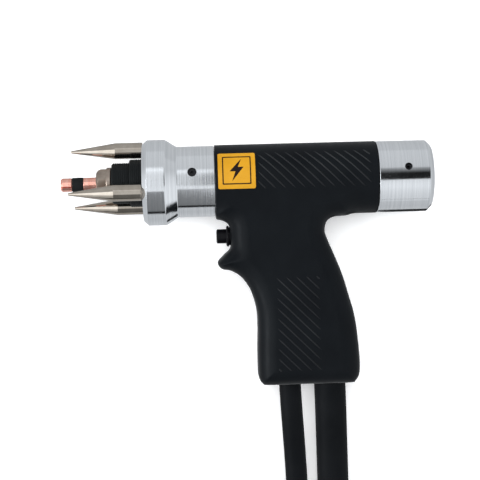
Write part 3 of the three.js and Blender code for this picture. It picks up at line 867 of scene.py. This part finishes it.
def leg(i, angle):
    _, *middle = around(0, LEG_CIRCLE_R, angle)
    obj = turned(f"leg_{i}_fine", [
        (LEG_TIP, 0), (LEG_TIP, 0.75, 0.35), (LEG_SHOULDER, 4.6, 1.2), (-58.15, 4.6, 0.35),
        (-58.15, 2.9, 0.1), (-47, 2.7, 0.4), (-47, 0),
    ], 72, *middle)
    put(obj, "nickel_leg", f"leg_{i}")


def set_screw(node, x, angle, inner, outer, radius):
    obj = cylinder(around(x, inner, angle), around(x, outer, angle), radius, 40)
    bevelled(obj, 0.25, 2)
    boolean(obj, [cylinder(around(x, outer - 1.7, angle), around(x, outer + 1, angle), radius * 0.55, 6)])
    obj.name = node + "_fine"
    put(obj, "steel", node, look=BLACK_OXIDE)


nose_body()
for number, leg_angle in enumerate(LEG_ANGLES, 1):
    leg(number, leg_angle)
for number, grub_angle in enumerate(GRUB_ANGLES, 1):
    set_screw(f"nose_set_screw_{number}", NOSE_GRUB_X, grub_angle, 15.6, 18.2, 2.35)
    set_screw(f"cap_set_screw_{number}", CAP_GRUB_X, grub_angle, 15.2, 18.2, 1.9)


# ---- collet, nut and bellows ----
def collet():
    """Slit into four jaws, whose tips are nicked by use."""
    obj = turned("collet_fine", [
        (-81.3, 0), (-81.3, 3.95, 0.1), (-91.5, 3.95, 0.25), (-91.6, 3.35, 0.1), (-98.1, 3.35, 0.1),
        (-98.3, 3.85, 0.3), (-103.6, 3.9, 0.6), (-104.5, 3.1, 0.5), (-104.5, 1.7, 0.2), (-84, 1.6), (-84, 0),
    ], 72)
    slits = []
    for angle in (0, 90):
        slit = box(-106, -93, -5, 5, -0.28, 0.28)
        slit.data.transform(Matrix.Rotation(math.radians(angle + 20), 4, "X"))
        slits.append(slit)
    nicks = [cylinder(around(-104.9 + 0.4 * (i % 2), 2.2, a), around(-104.7, 5, a), 0.95, 10)
             for i, a in enumerate((8, 48, 84, 121, 160, 205, 232, 275, 318))]
    boolean(obj, slits)
    boolean(obj, nicks)
    put(obj, "copper", "collet", body="spindle")


def collet_band():
    obj = turned("collet_band_fine", [
        (-97.95, 3.5, 0.1), (-97.95, 4.05, 0.25), (-94.9, 4.15, 1.5),
        (-91.75, 4.05, 0.25), (-91.75, 3.5, 0.1),
    ], 72)
    put(obj, "moulded_rubber", "collet_band", body="spindle")


def chuck_nut():
    """A hexagon with a domed front, on a round flange."""
    hexagon = cylinder((-84.3, 0, 0), (-78.2, 0, 0), 8.6, 6)
    hexagon.data.transform(Matrix.Rotation(math.radians(12), 4, "X"))
    dome = turned("dome", [
        (-84.3, 0), (-84.3, 6.6, 0.8), (-83.2, 7.9, 1.2), (-81.4, 8.65, 1.5), (-78.2, 8.65), (-78.2, 0),
    ], 96)
    boolean(hexagon, [dome], "INTERSECT")
    bevelled(hexagon, 0.35, 3, 25)
    flange = turned("flange", [
        (-78.5, 0), (-78.5, 9.0, 0.3), (-77.9, 9.3, 0.3), (-75.9, 9.3, 0.4), (-75.9, 0),
    ], 96)
    boolean(hexagon, [flange], "UNION")
    bores = [cylinder((-90, 0, 0), (-70, 0, 0), 4.25, 64), cylinder((-81, 0, 0), (-70, 0, 0), 5, 64)]
    boolean(hexagon, bores)
    hexagon.name = "chuck_nut_fine"
    put(hexagon, "nut_metal", "chuck_nut", body="chuck_nut")


BELLOWS_PITCH = 1.05
BELLOWS_DEPTH = 0.32


def bellows():
    """Two stepped sleeves of rubber with fine rounded ribs all round."""
    outer = [(-75.45, 6.5, 0.2), (-75.45, 11.0, 0.5)]

    def ribs(x0, x1, radius):
        count = 6 * round((x1 - x0) / BELLOWS_PITCH)
        for i in range(count + 1):
            wave = 0.5 + 0.5 * math.cos(math.pi * i / 3)
            outer.append((x0 + (x1 - x0) * i / count, radius - BELLOWS_DEPTH * wave))

    ribs(-74.9, -65.6, 11.65)
    outer.append((-65.4, 12.9, 0.4))
    ribs(-65.0, -57.6, 13.55)
    outer.extend([(-47, 13.3, 0.3), (-47, 12, 0.3), (-63.5, 12, 0.3), (-64, 10.2, 0.3),
                  (-73.8, 10.2, 0.3), (-73.8, 6.5, 0.2)])
    obj = turned("bellows_fine", outer, 128)
    blended(obj, "moulded_rubber", "spindle", "gun_body", (-75, 0), (-58, 0), "bellows")


def springs():
    """The main spring is in two parts, one towards the spindle and the other towards the spring seat."""
    x0, middle, x1 = 66.3, 78.15, 90.0
    front = helix("main_spring_front", x0, x1, 3.6, 0.6, 8, part=(0, 0.5))
    blended(front, "steel", "spindle", "gun_body", (x0, 0), (middle, 0), "main_spring")
    rear = helix("main_spring_rear", x0, x1, 3.6, 0.6, 8, part=(0.5, 1))
    blended(rear, "steel", "gun_body", "spring_seat", (middle, 0), (x1, 0))
    x0, x1 = -4.5, 1.7
    small = helix("trigger_spring_fine", x0, x1, 3.0, 0.35, 5, TRIGGER_Y)
    blended(small, "steel", "trigger", "gun_body", (x0, TRIGGER_Y), (x1, TRIGGER_Y), "trigger_spring")


def inner_braid():
    """The stranded lead inside the grip."""
    line = through([(25, -23), (25.2, -34), (31, -48), (40, -68), (45, -82), (WELD.exit_x, -91.6)], 8)
    path = []
    for i, (x, y) in enumerate(line):
        dx, dy = line[min(i + 1, len(line) - 1)] - line[max(i - 1, 0)]
        across, up = Vector((-dy, dx, 0)).normalized(), Vector((0, 0, 1))
        c, s = math.cos(0.1 * i), math.sin(0.1 * i)
        path.append((Vector((x, y, 0)), across * c + up * s, up * c - across * s))
    strands = 18
    section = []
    for k in range(strands * 6):
        a = 2 * math.pi * k / (strands * 6)
        r = 5.5 - 0.45 * (1 - abs(math.sin(strands * a / 2)))
        section.append((r * math.cos(a), r * math.sin(a)))
    braid = swept("inner_weld_braid", path, section)
    blended(braid, "copper_winding", "spindle", "gun_body", (25, -26), (42, -76), "inner_weld_lead")


collet()
collet_band()
chuck_nut()
bellows()
springs()
inner_braid()


# ---- rear cap ----
def rear_cap():
    obj = turned("rear_cap_fine", [
        (62, 15.1, 0.2), (62, 17.2, 0.4), (73.85, 17.2, 0.1), (73.85, CAP_R, 0.35),
        (CAP_BACK - CAP_CHAMFER, CAP_R, 0.5), (CAP_BACK, CAP_R - CAP_CHAMFER, 0.5),
        (CAP_BACK, 9.6, 0.25), (CAP_BACK - 0.9, 9.2, 0.25), (CAP_BACK - 0.9, 7.25, 0.2),
        (94, 7.25, 0.2), (94, 15.1, 0.3),
    ], 160)
    boolean(obj, [radial_hole(CAP_GRUB_X, a, 2.1) for a in GRUB_ANGLES])
    put(obj, "turned_aluminium", "rear_cap")


def spring_adjuster():
    obj = turned("spring_adjuster_fine", [
        (93.4, 0), (93.4, 7.0, 0.3), (103.3, 7.0, 0.5), (103.3, 0),
    ], 96)
    boolean(obj, [box(101.9, 105, -8, 8, -0.8, 0.8)])
    put(obj, "brass", "spring_adjuster", body="spring_adjuster")


rear_cap()
spring_adjuster()


# ---- trigger ----
def trigger():
    button = turned("trigger_button_fine", [
        (-17.2, 0), (-17.25, 2.4, 1.0), (-17.5, 3.3, 0.35), (-17.0, 4.07, 0.4), (-6.3, 4.07, 0.1),
        (-6.3, 5.6, 0.2), (-4.8, 5.6, 0.2), (-4.8, 0),
    ], 72, TRIGGER_Y)
    put(button, "black_plastic", "trigger_button", body="trigger")
    collar = turned("trigger_collar_fine", [
        (-11.9, 4.35, 0.15), (-11.9, 5.3, 0.35), (-11.3, 5.9, 0.3), (-10.45, 5.9, 0.2),
        (-10.45, 5.25, 0.05), (-6.7, 5.2, 0.2), (-6.7, 4.35, 0.15),
    ], 72, TRIGGER_Y)
    boolean(collar, [cylinder(around(-13, 6.6, a, TRIGGER_Y), around(-10.4, 6.6, a, TRIGGER_Y), 0.95, 16)
                     for a in range(15, 375, 30)])
    put(collar, "black_plastic", "trigger_collar")


trigger()


# ---- badge: a plate wrapped on the barrel with a frame and a lightning bolt ----
def wrapped(name, outline, holes, low, high):
    """A flat outline in (along, round) millimetres, thickened between two radii of the barrel."""
    work = bmesh.new()
    edges = []
    for loop in [outline] + holes:
        corners = [work.verts.new((u, v, 0)) for u, v in loop]
        edges += [work.edges.new((a, b)) for a, b in zip(corners, corners[1:] + corners[:1])]
    bmesh.ops.triangle_fill(work, use_beauty=True, use_dissolve=False, edges=edges)
    v_low = min(v for _, v in outline)
    v_high = max(v for _, v in outline)
    for v in np.arange(v_low + 0.7, v_high, 0.7):
        geometry = list(work.verts) + list(work.edges) + list(work.faces)
        bmesh.ops.bisect_plane(work, geom=geometry, plane_co=(0, v, 0), plane_no=(0, 1, 0))
    made = bmesh.ops.extrude_face_region(work, geom=list(work.faces))
    for element in made["geom"]:
        if isinstance(element, bmesh.types.BMVert):
            element.co.z = 1
    for vert in work.verts:
        u, v, top = vert.co
        radius = high if top > 0.5 else low
        a = v / BARREL_R
        vert.co = Vector((u, radius * math.sin(a), radius * math.cos(a))) * MM
    bmesh.ops.recalc_face_normals(work, faces=work.faces)
    mesh = bpy.data.meshes.new(name)
    work.to_mesh(mesh)
    work.free()
    return add_object(name, mesh)


def rounded_rectangle(u0, u1, v0, v1, r):
    return filleted([(u1, v1, r), (u0, v1, r), (u0, v0, r), (u1, v0, r)], True)


def badge():
    u0, u1 = -15.8, 4.9
    v0, v1 = -4.6, 16.0
    base = BARREL_R + 0.02
    plate = wrapped("badge_plate", rounded_rectangle(u0, u1, v0, v1, 0.9), [], base, BARREL_R + 0.8)
    bevelled(plate, 0.15, 2, 60)
    put(plate, "badge_plate", "badge")
    ink_low, ink_high = BARREL_R + 0.7, BARREL_R + 0.86
    rim = wrapped("badge_frame", rounded_rectangle(u0 + 2.4, u1 - 2.4, v0 + 2.4, v1 - 2.4, 0.5),
                  [rounded_rectangle(u0 + 3.05, u1 - 3.05, v0 + 3.05, v1 - 3.05, 0.3)], ink_low, ink_high)
    put(rim, "badge_plate", look=BADGE_INK)
    cu, cv = (u0 + u1) / 2, (v0 + v1) / 2
    bolt = [(2.6, 6.2), (-3.9, -0.9), (-0.7, -0.9), (-2.6, -6.2), (3.9, 1.5), (0.7, 1.5)]
    mark = wrapped("badge_bolt", [(cu + a, cv + b) for a, b in bolt], [], ink_low, ink_high)
    put(mark, "badge_plate", look=BADGE_INK)


badge()


# ---- plugs on the cables' ends ----
def weld_plug():
    place = tail_matrix(WELD)
    r = WELD.plug_r
    profile = [(0.4, 0), (0.4, 10.6, 0.6), (2, 12, 1.5), (24, 13.8, 4), (30, r - 0.6, 3)]
    for i in range(6):
        x = 35 + 6.4 * i
        profile += [(x, r - 0.3, 0.8), (x + 1.1, r - 1.3, 0.6),
                    (x + 2.2, r - 1.3, 0.6), (x + 3.3, r - 0.3, 0.8)]
    profile += [(72.5, r, 0.6), (78, r, 0.8), (78, 9.3, 0.5), (42, 9.3), (42, 0)]
    sleeve = turned("weld_plug_rubber", profile, 96)
    put(sleeve, "moulded_rubber", "weld_plug_sleeve", place=place, angle=45)
    contact = turned("weld_plug_pin", [
        (42.3, 0), (42.3, 8.7, 0.3), (86, 8.7, 0.5), (86, 6.5, 0.3),
        (104, 6.5, 0.8), (105, 5.6, 0.4), (105, 0),
    ], 72)
    boolean(contact, [box(88, 99.5, 0, 8.3, -2, 2)], "UNION")
    put(contact, "brass", "weld_plug_contact", place=place)
    return [sleeve, contact]


def control_plug():
    place = tail_matrix(CONTROL)
    profile = [(0.4, 0), (0.4, 7.0, 0.5), (1.6, 8, 0.8)]
    for i in range(4):
        x = 3.2 + 2.8 * i
        profile += [(x, 8.2, 0.3), (x + 0.6, 7.6, 0.3), (x + 1.2, 7.6, 0.3), (x + 1.8, 8.2, 0.3)]
    profile += [(15.2, 8.6, 0.3), (16.4, 10, 0.6), (30, 10, 0.5), (30, 8.4, 0.2), (44, 8.4, 0.4), (44, 0)]
    body = turned("control_plug_shell", profile, 96)
    put(body, "black_plastic", "control_plug_body", place=place, angle=45)
    ring = turned("control_plug_coupling", [
        (30.25, 8.8, 0.2), (30.25, 10.6, 0.4), (31, 11, 0.3), (46, 11, 0.3), (46.6, 10.5, 0.3),
        (52, 10.5, 0.4), (52, 8.8, 0.2),
    ], 120)
    flutes = [cylinder(around(31.6, 11.35, a), around(45.2, 11.35, a), 0.6, 10) for a in range(0, 360, 12)]
    boolean(ring, [joined(*flutes)])
    put(ring, "nickel_ring", "control_plug_ring", place=place)
    pin = [(43.6, 0), (43.6, 0.75, 0.1), (49.5, 0.75, 0.4), (49.5, 0)]
    angles = [2 * math.pi * (k + 0.5) / 5.6 for k in range(5)]
    spots = [(4.6 * math.cos(a), 4.6 * math.sin(a)) for a in angles]
    pins = joined(*[turned("control_plug_pins", pin, 20, *spot) for spot in spots])
    put(pins, "brass", place=place)
    return [body, ring, pins]


def coil_tie(name, cable, degrees, node):
    """A strap round a coil's section, with its free end lapped over the top."""
    lap = 0.5
    inner, outer = [cable.middle + way * (cable.radius * cable.wide + lap) for way in (-1, 1)]
    low, high = COIL_LIFT - 0.55, cable.top + lap
    corner = cable.radius
    path = []
    centres = [(outer - corner, high - corner, 0), (inner + corner, high - corner, 90),
               (inner + corner, low + corner, 180), (outer - corner, low + corner, 270)]
    for r, z, start in centres:
        for k in range(11):
            a = math.radians(start + 9 * k)
            out = Vector((math.cos(a), 0, math.sin(a)))
            path.append((Vector((r, 0, z)) + out * corner, Vector((0, 1, 0)), out))
    section = [(-6, 0), (-6, 0.55), (-5.6, 0.75), (5.6, 0.75), (6, 0.55), (6, 0)]
    strap = swept(name, path, section, closed=True)
    lapped = [inner + (outer - inner) * (0.22 + 0.5 * k / 8) for k in range(9)]
    end = [(Vector((r, 0, high + 0.72)), Vector((0, 1, 0)), Vector((0, 0, 1))) for r in lapped]
    flap = swept("flap", end, [(u * 0.97, v) for u, v in section])
    joined(strap, flap)
    place = Matrix.Rotation(math.radians(degrees), 4, "Z")
    place.translation = on_floor(*cable.centre, 0)
    put(strap, "strap", node, place=place, angle=40)
    return strap


weld_pieces = weld_plug()
control_pieces = control_plug()
weld_pieces += [coil_tie("weld_tie_a", WELD, 272, "weld_coil_tie_1"),
                coil_tie("weld_tie_b", WELD, 338, "weld_coil_tie_2")]
control_pieces += [coil_tie("control_tie_a", CONTROL, 280, "control_coil_tie_1"),
                   coil_tie("control_tie_b", CONTROL, 340, "control_coil_tie_2")]

for piece in [weld_cable, control_cable, *weld_pieces, *control_pieces]:
    piece.visible_glossy = False  # the coils' own reflections would cross the metal
put(weld_cable, "cable_jacket", "weld_cable_lead", "weld_cable_coil", "weld_cable_tail",
    place=Matrix.Identity(4))
put(control_cable, "cable_jacket", "control_cable_lead", "control_cable_coil",
    "control_cable_tail", place=Matrix.Identity(4))


# ---- floor and light ----
def rectangle(name, x, y):
    """A flat sheet, x and y either side of its middle, in millimetres."""
    return mesh_object(name, [(-x, -y, 0), (x, -y, 0), (x, y, 0), (-x, y, 0)], [(0, 1, 2, 3)])


def floor():
    look = Look("floor_white")
    look.set(Roughness=0.9, Emission_Color=(1, 1, 1, 1), Emission_Strength=0.25)
    clouds = look.noise(3.0, 3.0, 0.5)
    look.set(Base_Color=look.colours(clouds, (0.2, (0.915,) * 3), (0.8, (0.93,) * 3)))
    obj = rectangle("floor", 4000.0, 4000.0)
    obj.data.materials.append(look.material)
    obj.visible_glossy = False


def card(name, centre, size, rotation, strength, *stops):
    """A card that only shows in reflections. Its brightness runs along its own Y: (share, brightness)."""
    obj = rectangle(name, size[0] * 500, size[1] * 500)
    obj.location = centre
    obj.rotation_euler = [math.radians(a) for a in rotation]
    look = Look(name)
    along = look.output("Y", "SeparateXYZ", Vector=look.coordinates)
    share = look.ramp(along, 0.0, 1.0, -size[1] / 2, size[1] / 2)
    colour = look.colours(share, *[(at, grey(value)) for at, value in stops])
    glow = look.output("Emission", "Emission", Strength=strength, Color=colour)
    fill(look.tree, look.tree.nodes["Material Output"], {"Surface": glow})
    obj.data.materials.append(look.material)
    obj.visible_camera = False
    obj.visible_diffuse = False
    obj.visible_shadow = False


def softbox(name, location, target, size, energy, reflected):
    light = bpy.data.lights.new(name, "AREA")
    light.shape = "RECTANGLE"
    light.size, light.size_y = size
    light.energy = energy
    obj = add_object(name, light)
    obj.location = location
    obj.rotation_euler = (Vector(target) - Vector(location)).to_track_quat("-Z", "Y").to_euler()
    obj.visible_glossy = reflected


def grey(value):
    return (value * 0.97, value, value * 1.03)


def sky():
    """Bright above and around, softer below the horizon, which only reflections see."""
    world = bpy.data.worlds.new("studio")
    bpy.context.scene.world = world
    world.use_nodes = True
    tree = world.node_tree
    direction = add_node(tree, "TexCoord").outputs["Generated"]
    parts = add_node(tree, "SeparateXYZ", Vector=direction).outputs
    spread = add_node(tree, "MapRange", From_Min=-1, Value=parts["Y"]).outputs["Result"]

    def across(*stops):
        return colour_ramp(tree, spread, [((y + 1) / 2, grey(value)) for y, value in stops])

    above = across((-1, 0.72), (-0.6, 0.92), (-0.2, 0.9), (0.1, 0.8), (0.4, 0.63), (1, 0.68))
    below = across((-1, 0.6), (-0.9, 0.56), (-0.6, 0.62), (0.5, 0.55), (1, 0.6))
    up = add_node(tree, "MapRange", From_Min=-0.02, From_Max=0.02, Value=parts["Z"])
    mix = add_node(tree, "Mix")
    mix.data_type = "RGBA"
    fill(tree, mix, {"Factor": up.outputs["Result"], "A": below, "B": above})
    fill(tree, tree.nodes["Background"], {"Color": mix.outputs["Result"]})


floor()
sky()
softbox("overhead", (0.1, 0.4, 1.6), (0, 0, 0), (1.6, 1.2), 22, False)
softbox("left", (-1.1, 0.0, 0.95), (0.02, -0.05, 0.02), (0.5, 0.9), 9, False)
card("card_left", (-1.0, -0.22, 0.6), (0.75, 0.75), (0, 60, 0), 6, (0.0, 1.0), (1.0, 1.0))
card("card_above_cap", (0.37, 0.12, 1.2), (0.7, 0.96), (0, 0, 0), 1,
     (0.0, 0.7), (0.1, 0.3), (0.2, 0.01), (0.58, 0.01), (0.7, 0.12), (0.85, 0.28), (1.0, 0.5))
card("card_cap_edge", (0.42, -0.36, 1.18), (0.8, 0.3), (0, 0, 14), 1, (0.0, 0.9), (1.0, 0.85))
card("card_cap_line", (0.5, -0.79, 0.135), (0.8, 0.014), (90, 0, 0), 1, (0.0, 0.2), (1.0, 0.2))
card("card_under_cap", (0.275, -0.25, -0.6), (0.25, 0.5), (0, 0, 0), 1, (0.0, 0.02), (1.0, 0.02))
card("card_above_collet", (-0.315, 0.25, 1.25), (0.23, 1.6), (0, 0, 0), 1.5, (0.0, 0.95), (1.0, 1.0))
card("card_above_nose", (-0.085, 0.25, 1.25), (0.23, 1.6), (0, 0, 0), 1.15,
     (0.0, 0.78), (0.3, 0.8), (0.62, 0.78), (0.74, 0.87), (0.84, 1.0), (1.0, 0.66))
card("card_above_legs", (-0.75, -0.15, 1.25), (0.6, 1.3), (0, 0, 0), 2.2, (0.0, 0.9), (1.0, 1.0))
card("card_below_nose", (-0.155, -0.8, 0.86), (0.41, 1.78), (90, 0, 0), 1,
     (0.0, 0.0), (0.07, 0.0), (0.075, 0.2), (1.0, 0.25))
bpy.context.scene.view_settings.view_transform = "Standard"
